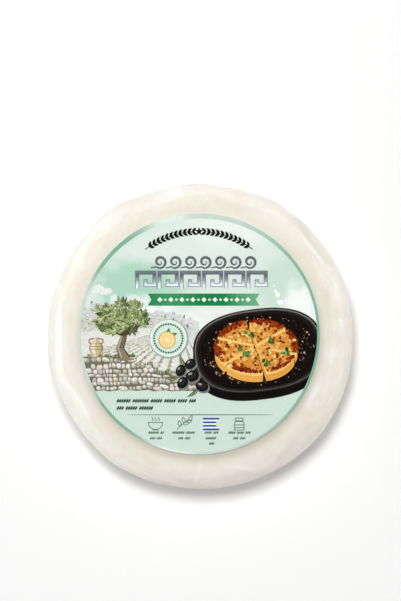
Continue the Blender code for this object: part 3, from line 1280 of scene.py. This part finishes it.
def field():
    """A pale field whose rows of low vines run away to the right."""
    shapes = Print("field")
    draw = random.Random(FIELD_SEED)
    shapes.add(pulled_in(uneven_line(FIELD + FIELD[:1], 1.0, 0.6, 5.7)), (236, 236, 228))
    for row in range(VINE_ROWS):
        start = (VINE_ROWS_START[0] + row * VINE_ROWS_PITCH, VINE_ROWS_START[1])
        for vine in range(VINES_IN_ROW):
            near = VINE_NARROWING ** vine
            x, y = between(VINE_ROWS_END, start, near)
            size = 0.15 + VINE_SIZE * near
            if math.hypot(x, y) > VINE_LIMIT - size:
                continue
            next_x, next_y = between(VINE_ROWS_END, start, near * VINE_NARROWING)
            shadow = [(x - size, y - size * 0.4), (x + size * 1.2, y - size * 0.6), (next_x, next_y)]
            shapes.add(shadow, between((236, 236, 228), (150, 144, 122), near))
            for _ in range(3):
                a, b = between((x, y), (next_x, next_y), draw.random())
                tint = between((126, 134, 92), (212, 214, 186), draw.random())
                tint = between((226, 228, 220), tint, 0.3 + 0.7 * near)
                shapes.add(blot(draw, a, b, size * draw.uniform(0.5, 0.9), 0.7, 7, 0.3, 20), tint)
    shapes.piece(tinted_material("field_wash", 0.15, 900.0))


def stone_steps():
    """A dry wall of stones laid in courses, whose top comes down in steps to the right."""
    outline, left = [], STEPS_LEFT
    for end, top in STONE_STEPS:
        outline += [(left, top), (end, top)]
        left = end
    outline += [(left, STEPS_FOOT), (STEPS_LEFT, STEPS_FOOT), (STEPS_LEFT, STONE_STEPS[0][1])]
    ground = Print("wall_gaps")
    ground.add(pulled_in(uneven_line(outline, 1.0, 0.5, 3.1)), (122, 117, 99))
    ground.piece(tinted_material("gap_wash", 0.2, 1500.0))
    shapes = Print("wall")
    draw = random.Random(STONE_SEED)
    level = STEPS_FOOT
    while level < STONE_STEPS[0][1]:
        tall = draw.uniform(1.3, 2.5)
        x = STEPS_LEFT + draw.random()
        while x < STONE_STEPS[-1][0]:
            long = draw.uniform(1.2, 3.4) * draw.choice((0.7, 1.0, 1.0, 1.4))
            middle = x + long / 2
            tops = [top for end, top in STONE_STEPS if middle < end]
            x += long
            sag = 1.6 * noise.noise(Vector((middle * 0.11, level * 0.35, STONE_SEED)))
            place = (middle, max(STEPS_FOOT + tall / 2, level + tall / 2 + sag))
            if tops and place[1] < tops[0] and math.hypot(middle, level) < STONE_LIMIT:
                add_stone(shapes, draw, place, (long / 2 - 0.05, tall * draw.uniform(0.42, 0.56)))
        level += tall
    draw_grass(shapes, draw)
    shapes.piece(tinted_material("stone_wash", 0.22, 1500.0))


def add_stone(shapes, draw, place, half):
    """One stone of the wall, with a lit upper left, a shaded foot and small cracks."""
    x, y = place
    block = [
        (a * draw.uniform(0.8, 1.1), b * draw.uniform(0.78, 1.12))
        for a, b in oblong(*half, 2.7, 12)
    ]
    tint = between((178, 174, 158), (252, 250, 244), draw.random() ** 0.8)
    if draw.random() < 0.1:
        tint = between(tint, (212, 196, 154), 0.5)
    shade = between(tint, (112, 106, 86), 0.45)
    lean = draw.gauss(0, 7)
    shapes.add(pulled_in(placed(block, x, y, lean)), shade)
    shapes.add(pulled_in(placed([(a * 0.88, b * 0.78) for a, b in block], x - 0.08, y + 0.16, lean)), tint)
    lit = placed([(a * 0.55, b * 0.36) for a, b in block], x - half[0] * 0.2, y + half[1] * 0.36, lean)
    shapes.add(pulled_in(lit), between(tint, (255, 254, 250), 0.6))
    for _ in range(2 if half[0] > 0.9 else 1):
        a, b = x + draw.uniform(-0.6, 0.6) * half[0], y + draw.uniform(-0.5, 0.3) * half[1]
        crack = circle(a, b, draw.uniform(0.25, 0.6), 8, 0.18, draw.uniform(-70, 20))
        shapes.add(pulled_in(crack), between(shade, tint, 0.15))


def draw_grass(shapes, draw):
    """Short blades of grass along the top of each step."""
    for _ in range(GRASS_TUFTS):
        x = draw.uniform(GRASS_START, STONE_STEPS[-1][0])
        top = next(top for end, top in STONE_STEPS if x <= end)
        tint = between((74, 92, 46), (176, 188, 132), draw.random())
        for _ in range(3):
            blade = leaf(x, top - 0.3, draw.gauss(90, 28), draw.uniform(0.8, 1.9), 0.4, 4)
            shapes.add(pulled_in(blade), tint)


def oblong(half_width, half_height, power, count):
    """Points round an oblong with rounded corners, squarer where the power is higher."""
    points = []
    for i in range(count):
        angle = 2 * math.pi * i / count
        cosine, sine = math.cos(angle), math.sin(angle)
        across = math.copysign(abs(cosine) ** (2 / power), cosine)
        along = math.copysign(abs(sine) ** (2 / power), sine)
        points.append((half_width * across, half_height * along))
    return points


def old_tree():
    """An old tree with a bent trunk and a wide crown of slim leaves, on the top step."""
    wood, crown = Print("trunk"), Print("crown")
    draw = random.Random(TREE_SEED)
    for (across, up), widths, tint in TREE_STROKES:
        path = [(x + across, y + up) for x, y in (TREE_ROOT, TREE_KNEE, TREE_FORK)]
        wood.add_strip(*stroke(path, widths), [tint] * 3)
    for across, widths in ROOT_STROKES:
        path = [(TREE_ROOT[0] + across, TREE_ROOT[1] + 0.1), TREE_ROOT, TREE_KNEE]
        wood.add_strip(*stroke(path, widths), [BARK] * 3)
    sprays = []
    for _ in range(CROWN_SPRAYS):
        angle, reach = draw.uniform(0, 2 * math.pi), draw.random() ** 0.55
        x = CROWN_CENTRE[0] + CROWN_SPREAD[0] * reach * math.cos(angle)
        y = CROWN_CENTRE[1] + CROWN_SPREAD[1] * reach * math.sin(angle)
        sprays.append((x, y))
        knee = ((TREE_FORK[0] + x) / 2 + draw.gauss(0, 0.8), (TREE_FORK[1] + y) / 2 - 0.5)
        wood.add_strip(*stroke([TREE_FORK, knee, (x, y)], (1.0, 0.55, 0.25)), [DARK_BARK] * 3)
    for x, y in sprays[::3]:
        mass = blot(draw, x, y, draw.uniform(1.0, 1.8), 0.7, 9, 0.3)
        crown.add(mass, between((92, 108, 62), (140, 152, 104), draw.random()))
    for x, y in sprays:
        depth = draw.random() ** 0.8
        outward = math.degrees(math.atan2(y - TREE_FORK[1], x - TREE_FORK[0]))
        for _ in range(LEAVES_IN_SPRAY):
            heading = outward + draw.gauss(0, 70)
            root = (x + draw.gauss(0, 0.6), y + draw.gauss(0, 0.5))
            tint = between((74, 96, 46), (196, 208, 150), min(1.0, max(0.0, depth + draw.gauss(0, 0.25))))
            length, width = draw.uniform(2.0, 3.2), draw.uniform(0.75, 1.1)
            edge = leaf(root[0] + 0.08, root[1] - 0.12, heading, length * 1.05, width * 1.25, 6)
            crown.add(pulled_in(edge, LEAF_LIMIT), between(tint, (48, 62, 28), 0.55))
            crown.add(pulled_in(leaf(*root, heading, length, width, 6), LEAF_LIMIT), tint)
            vein = leaf(*root, heading, length * 0.8, width * 0.25, 4)
            crown.add(pulled_in(vein, LEAF_LIMIT), between(tint, (222, 230, 190), 0.5))
    wood.piece(tinted_material("bark_wash", 0.2, 1100.0))
    crown.piece(tinted_material("leaf_wash", 0.2, 1200.0))


def clay_jar():
    """A tall clay jar with two handles and painted bands, standing on the wall."""
    shapes = Print("jar")
    x, y = JAR_FOOT
    pale, clay, shade, paint = (236, 224, 196), (208, 190, 152), (158, 136, 100), (116, 96, 66)
    for side in (-1, 1):
        handle = [(x + side * across, y + rise) for across, rise in JAR_HANDLE]
        shapes.add_strip(*stroke(handle, 0.55), [shade] * len(handle))
    for left, right, tint in ((-1.06, 1.08, shade), (-0.98, 0.8, clay), (-0.8, -0.1, pale)):
        edge = [(x + half * right, y + rise) for rise, half in JAR_PROFILE]
        edge += [(x + half * left, y + rise) for rise, half in reversed(JAR_PROFILE)]
        shapes.add(edge, tint)
    for low, high, half in JAR_BANDS:
        band = [(x - half, y + low), (x + half, y + low), (x + half, y + high), (x - half, y + high)]
        shapes.add(band, paint)
    shapes.piece(tinted_material("clay_wash", 0.18, 1100.0))


def badge():
    """A small mint badge with a beaded border, a cut golden fruit and two leaves."""
    x, y = BADGE_CENTRE
    shapes = Print("badge")
    for shift, radius, tint in BADGE_RIMS:
        shapes.add(circle(x + shift, y - shift, radius), tint)
    for i in range(BADGE_BEADS):
        bead = on_circle(BEADS_RADIUS, math.radians(360 * i / BADGE_BEADS), x, y)
        shapes.add(circle(*bead, BEAD_RADIUS, 10), (30, 88, 60))
    for heading, length in BADGE_LEAVES:
        shapes.add(leaf(x - 0.6, y + 0.4, heading, length, 2.0, 7), (74, 112, 58))
        shapes.add(leaf(x - 0.6, y + 0.4, heading, length * 0.85, 0.4, 5), (150, 180, 112))
    fruit = (x + FRUIT_SHIFT[0], y + FRUIT_SHIFT[1])
    for radius, tint in FRUIT_RIMS:
        shapes.add(circle(*fruit, radius, 40), tint)
    shine = [(a * 0.8 + 0.35, b * 0.45) for a, b in FRUIT_SEGMENT]
    for i in range(FRUIT_SEGMENTS):
        heading = 360 / FRUIT_SEGMENTS * i + 10
        shapes.add(placed(FRUIT_SEGMENT, *fruit, heading), (246, 200, 100))
        shapes.add(placed(shine, *fruit, heading), (254, 224, 142))
    shapes.piece(tinted_material("badge_ink", 0.08, 900.0))


def tray():
    """A dark slate tray with a paler rim, flecked with crumbs and oil."""
    shapes = Print("tray")
    draw = random.Random(TRAY_SEED)
    x, y = TRAY_CENTRE
    for drop, size, tint in TRAY_RIMS:
        outline = oblong(TRAY_HALF[0] * size, TRAY_HALF[1] * size, TRAY_POWER, 120)
        shapes.add(pulled_in(placed(outline, x, y + drop, TRAY_TURN), TRAY_LIMIT), tint)
    shapes.piece(tinted_material("slate_ink", 0.3, 1100.0))
    shapes = Print("crumbs")
    for _ in range(CRUMB_COUNT):
        angle, reach = draw.uniform(0, 2 * math.pi), draw.random() ** 0.5 * 0.86
        if draw.random() < 0.3:
            angle, reach = math.radians(draw.gauss(232, 38)), draw.uniform(0.6, 0.82)
        a, b = TRAY_HALF[0] * reach * math.cos(angle), TRAY_HALF[1] * reach * math.sin(angle)
        place = placed([(a, b)], x, y, TRAY_TURN)[0]
        if math.hypot(*place) > CRUMB_LIMIT:
            continue
        tint = draw.choice(CRUMB_TINTS)
        shapes.add(blot(draw, *place, draw.random() ** 2 * 0.38 + 0.11, 0.8, 6), tint)
    shapes.piece(tinted_material("crumb_ink", 0.1, 1100.0))


def wedges():
    """Golden wedges of seared cheese set in a round on the tray, with browned tops and yellow sides."""
    sides, tops, browned = Print("wedge_sides"), Print("wedge_tops"), Print("browning")
    draw = random.Random(WEDGE_SEED)
    for number in range(WEDGE_COUNT):
        outline = wedge(number)
        shade = [(a + 0.5, b - WEDGE_THICKNESS - 0.7) for a, b in outline]
        foot = [(a, b - WEDGE_THICKNESS) for a, b in outline]
        waist = [(a, b - WEDGE_THICKNESS * 0.35) for a, b in outline]
        sides.add(hull(shade + outline), (16, 12, 10))
        sides.add(hull(foot + outline), between((232, 164, 74), (246, 186, 96), draw.random()))
        sides.add(hull(waist + outline), (252, 210, 120))
        tops.add(outline, (226, 150, 64))
        middle = (sum(a for a, _ in outline) / len(outline), sum(b for _, b in outline) / len(outline))
        for _ in range(WEDGE_SPOTS):
            corner = draw.randrange(len(outline))
            edge = between(outline[corner - 1], outline[corner], draw.random())
            share = draw.random() ** 0.4 * 0.96
            a, b = between(middle, edge, share)
            a, b = a + draw.uniform(-0.6, 0.6) * (1 - share), b + draw.uniform(-0.6, 0.6) * (1 - share)
            patch = noise.noise(Vector((a * 0.42, b * 0.6, WEDGE_SEED)))
            reach = math.hypot(a - WEDGES_CENTRE[0], (b - WEDGES_CENTRE[1]) / WEDGE_SQUASH) / WEDGE_REACH
            seared = draw.random() < 0.2 + 0.8 * reach ** 4 + 1.3 * patch
            low, high = SEARED_TINTS if seared else GOLDEN_TINTS
            size = draw.uniform(0.25, 0.5 + 0.4 * reach) if seared else draw.uniform(0.4, 0.9)
            browned.add(blot(draw, a, b, size, 0.75, 7), between(low, high, draw.random()))
    sides.piece(tinted_material("crumb_yellow", 0.16, 1300.0))
    tops.piece(tinted_material("golden_crust", 0.22, 1200.0))
    browned.piece(tinted_material("browned_spots", 0.25, 1600.0))


def wedge(number):
    """The top of one wedge, its tip a little away from the middle of the round."""
    step = 360 / WEDGE_COUNT
    heading = math.radians(number * step + WEDGE_TURN)
    tip = on_circle(WEDGE_GAP, heading)
    points = [tip]
    for i in range(9):
        points.append(on_circle(WEDGE_REACH, heading + math.radians(step * (i / 8 - 0.5)), *tip))
    return [(WEDGES_CENTRE[0] + a, WEDGES_CENTRE[1] + b * WEDGE_SQUASH) for a, b in points]


def herbs():
    """Small green leaves scattered over the wedges."""
    shapes = Print("herbs")
    draw = random.Random(HERB_SEED)
    for x, y, heading in HERB_SPOTS:
        for _ in range(4):
            way = heading + draw.gauss(0, 70)
            tint = between((26, 82, 34), (96, 150, 70), draw.random())
            stalk = (x + draw.gauss(0, 0.7), y + draw.gauss(0, 0.6))
            shapes.add(leaf(*stalk, way, draw.uniform(1.7, 2.6), 1.4, 6), tint)
    shapes.piece(tinted_material("herb_green", 0.15, 900.0))


def olives():
    """A handful of black olives with a few leaves, beside the tray."""
    shapes = Print("olives")
    for x, y, heading in OLIVE_LEAVES:
        shapes.add(leaf(x, y, heading, 6.2, 1.5, 8, 0.4), (86, 104, 66))
        shapes.add(leaf(x, y, heading, 5.6, 0.5, 8, 0.5), (146, 162, 118))
    for x, y, size, turn in OLIVES:
        shapes.add(circle(x + 0.4, y - 0.6, size * 1.08, 28, 0.8, turn), (120, 128, 118))
        shapes.add(circle(x, y, size, 28, 0.8, turn), (24, 21, 22))
        shapes.add(circle(x - size * 0.1, y + size * 0.12, size * 0.72, 24, 0.72, turn), (44, 39, 40))
        shapes.add(circle(x - size * 0.3, y + size * 0.32, size * 0.3, 16, 0.5, turn), (168, 168, 170))
    shapes.piece(tinted_material("olive_ink", 0.1, 900.0))


def seed_row(shapes, draw, start, end, level, length, pitch):
    """A row of slanted seeds in small groups, all alike, in the place of a line of fine print."""
    x = start
    while x < end:
        for _ in range(draw.randint(3, 7)):
            if x > end:
                return
            shapes.add(leaf(x, level, SEED_LEAN, length, length * 0.42, 4))
            x += pitch
        x += pitch * 0.9


def fine_print():
    """Two rows of seeds over the rule, and short ones under each small picture."""
    draw = random.Random(PRINT_SEED)
    bold = Print("note")
    for end, level in NOTE_ROWS:
        seed_row(bold, draw, NOTE_START, end, level, *NOTE_SEED)
    bold.piece(ink_material("deep_green_ink", (38, 62, 48), 0.15))
    small = Print("captions")
    for middle, half, level in CAPTIONS:
        seed_row(small, draw, middle - half, middle + half, level, *CAPTION_SEED)
    small.piece(ink_material("grey_green_ink", (72, 98, 82), 0.15))


def rule():
    """The thin rule across the panel, tapered at both ends."""
    shapes = Print("rule")
    path, widths = [], []
    for i in range(RULE_STEPS + 1):
        path.append((RULE_START + RULE_LENGTH * i / RULE_STEPS, RULE_LEVEL))
        widths.append(0.12 + 0.42 * math.sin(math.pi * i / RULE_STEPS) ** 0.5)
    shapes.add_strip(*stroke(path, widths))
    shapes.piece(ink_material("rule_green", (140, 160, 146), 0.05))


def small_pictures():
    """Four small line drawings under the rule: a steaming bowl, a sprig, a striped pennant and a jar."""
    lines = Print("drawings")
    for path, closed in bowl_lines(-18.0) + sprig_lines(-6.5) + jar_lines(16.6):
        lines.add_strip(*stroke(path, DRAWING_LINE, closed), closed=closed)
    lines.piece(ink_material("line_green", (104, 140, 120), 0.08))
    stripes = Print("pennant")
    middle, half = (PENNANT_TOP + PENNANT_BOTTOM) / 2, (PENNANT_TOP - PENNANT_BOTTOM) / 2
    step = (PENNANT_TOP - PENNANT_BOTTOM) / PENNANT_STRIPES
    for i in range(PENNANT_STRIPES):
        high, low = PENNANT_TOP - i * step, PENNANT_TOP - (i + 1) * step
        notches = [PENNANT_NOTCH * (1 - abs(level - middle) / half) for level in (low, high)]
        ends = [(PENNANT_RIGHT - notches[0], low), (PENNANT_RIGHT - notches[1], high)]
        tint = (34, 80, 164) if i % 2 == 0 else (240, 246, 244)
        stripes.add([(PENNANT_LEFT, low), *ends, (PENNANT_LEFT, high)], tint)
    stripes.piece(tinted_material("pennant_ink", 0.03, 700.0))


def bowl_lines(x):
    """A bowl on a foot, with three curls of steam."""
    angles = np.linspace(math.pi, 2 * math.pi, 14)
    bowl = [(x + 3.0 * math.cos(a), -36.6 + 2.9 * math.sin(a)) for a in angles]
    steam = []
    for offset in (-1.3, 0.0, 1.3):
        curl = [(x + offset + 0.28 * math.sin(4.2 * t), -36.0 + 1.7 * t) for t in np.linspace(0, 1, 8)]
        steam.append((curl, False))
    foot = [(x - 1.2, DRAWINGS_FOOT), (x + 1.2, DRAWINGS_FOOT)]
    return [(bowl, True), (foot, False), *steam]


def sprig_lines(x):
    """A stem with five leaves."""
    stem = [(x - 2.6 + 5.0 * t, -39.5 + 3.6 * t + 0.6 * math.sin(3.0 * t)) for t in np.linspace(0, 1, 9)]
    lines = [(stem, False)]
    for share, heading in ((0.25, 100), (0.45, 5), (0.6, 110), (0.8, 10), (1.0, 60)):
        a, b = stem[round(share * 8)]
        lines.append((leaf(a, b, heading, 2.4, 1.3, 5), True))
    return lines


def jar_lines(x):
    """A jar with a lid and a band."""
    low, neck, lid = DRAWINGS_FOOT, -36.2, -34.8
    body = [(x - 2.0, low), (x + 2.0, low), (x + 2.0, neck - 0.7), (x + 1.4, neck), (x - 1.4, neck),
            (x - 2.0, neck - 0.7)]
    cap = [(x - 1.6, neck + 0.3), (x + 1.6, neck + 0.3), (x + 1.6, lid), (x - 1.6, lid)]
    bands = [[(x - 2.0, level), (x + 2.0, level)] for level in (-37.6, -38.7)]
    return [(body, True), (cap, True)] + [(band, False) for band in bands]


def splashes():
    """White drops over the green wash at the right."""
    shapes = Print("splashes")
    draw = random.Random(SPLASH_SEED)
    for _ in range(SPLASHES):
        x, y = draw.uniform(29, 47), draw.uniform(4, 26)
        if math.hypot(x, y) < SPLASH_LIMIT and x + 0.4 * y > 38:
            shapes.add(blot(draw, x, y, draw.random() ** 2 * 1.5 + 0.25, 0.8, 10, 0.2), (246, 251, 247))
    shapes.piece(tinted_material("splash_white", 0.02, 700.0))


# The floor, the light and the camera

def floor():
    bpy.ops.mesh.primitive_plane_add(size=FLOOR_SIZE, location=(0, 0, 0))
    made = bpy.context.object
    made.name = "floor"
    material, shader, _ = new_material("floor_white")
    shader.inputs["Base Color"].default_value = (0.93, 0.93, 0.93, 1)
    shader.inputs["Roughness"].default_value = 0.9
    shader.inputs["Emission Color"].default_value = (1, 1, 1, 1)
    shader.inputs["Emission Strength"].default_value = 0.08
    made.data.materials.append(material)


def area_light(name, azimuth, elevation, distance, width, height, power, tint):
    """A soft oblong light that looks at the wheel, from a direction in plan and a height in degrees."""
    data = bpy.data.lights.new(name, "AREA")
    data.shape = "RECTANGLE"
    data.size = width
    data.size_y = height
    data.energy = power
    data.color = tint
    lamp = bpy.data.objects.new(name, data)
    turn, rise = math.radians(azimuth), math.radians(elevation)
    away = Vector((math.cos(rise) * math.cos(turn), math.cos(rise) * math.sin(turn), math.sin(rise)))
    target = Vector((0, 0, WHEEL_HEIGHT / 2))
    lamp.location = target + away * distance
    lamp.rotation_euler = (-away).to_track_quat("-Z", "Y").to_euler()
    bpy.context.scene.collection.objects.link(lamp)
    return lamp


def lights():
    for *values, on_matt, on_gloss in LIGHTS:
        lamp = area_light(*values)
        lamp.visible_diffuse = on_matt
        lamp.visible_glossy = on_gloss
    bpy.context.scene.world = studio()


def studio():
    """A soft white tent of light, brighter round the sides than overhead."""
    world = bpy.data.worlds.new("studio")
    world.use_nodes = True
    tree = world.node_tree
    axes = axes_of(tree, "Generated")
    fall = arithmetic(tree, "SUBTRACT", 1.0, arithmetic(tree, "MAXIMUM", axes["Z"], 0.0))
    band = arithmetic(tree, "MULTIPLY", arithmetic(tree, "POWER", fall, TENT_FALL), TENT_SIDE - TENT_TOP)
    level = arithmetic(tree, "ADD", band, TENT_TOP)
    lean = arithmetic(tree, "MULTIPLY", arithmetic(tree, "ADD", axes["Y"], 1.0), TENT_LEAN)
    level = arithmetic(tree, "MULTIPLY", level, arithmetic(tree, "ADD", lean, 1.0 - TENT_LEAN))
    near = arithmetic(tree, "MAXIMUM", arithmetic(tree, "MULTIPLY", axes["Y"], -1.0), 0.0)
    dip = arithmetic(tree, "MULTIPLY", arithmetic(tree, "POWER", near, TENT_DIP_POWER), TENT_DIP)
    level = arithmetic(tree, "MULTIPLY", level, arithmetic(tree, "SUBTRACT", 1.0, dip))
    tree.links.new(level, tree.nodes["Background"].inputs["Strength"])
    tree.nodes["Background"].inputs["Color"].default_value = (1, 1, 1, 1)
    return world


def camera():
    """Straight above the wheel, which lies a little low in the frame."""
    data = bpy.data.cameras.new("camera")
    data.sensor_fit = "VERTICAL"
    data.sensor_height = SENSOR_HEIGHT
    data.lens = SENSOR_HEIGHT * CAMERA_DISTANCE / FRAME_HEIGHT
    made = bpy.data.objects.new("camera", data)
    made.location = (0.0, CAMERA_SHIFT, LABEL_TOP + CAMERA_DISTANCE)
    bpy.context.scene.collection.objects.link(made)
    bpy.context.scene.camera = made


def main():
    camera()
    lights()
    floor()
    wheel = cheese()
    skin = film()
    for piece in (wheel, skin):
        settle(piece)
    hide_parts("packed_wheel")
    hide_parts("packed_wheel")
    label_sheet()
    ring()
    panel()
    laurel()
    running_wave()
    key_band()
    ribbon()
    hills()
    field()
    stone_steps()
    old_tree()
    clay_jar()
    splashes()
    tray()
    wedges()
    herbs()
    olives()
    badge()
    fine_print()
    rule()
    small_pictures()
    bpy.context.scene.view_settings.view_transform = "Standard"


main()
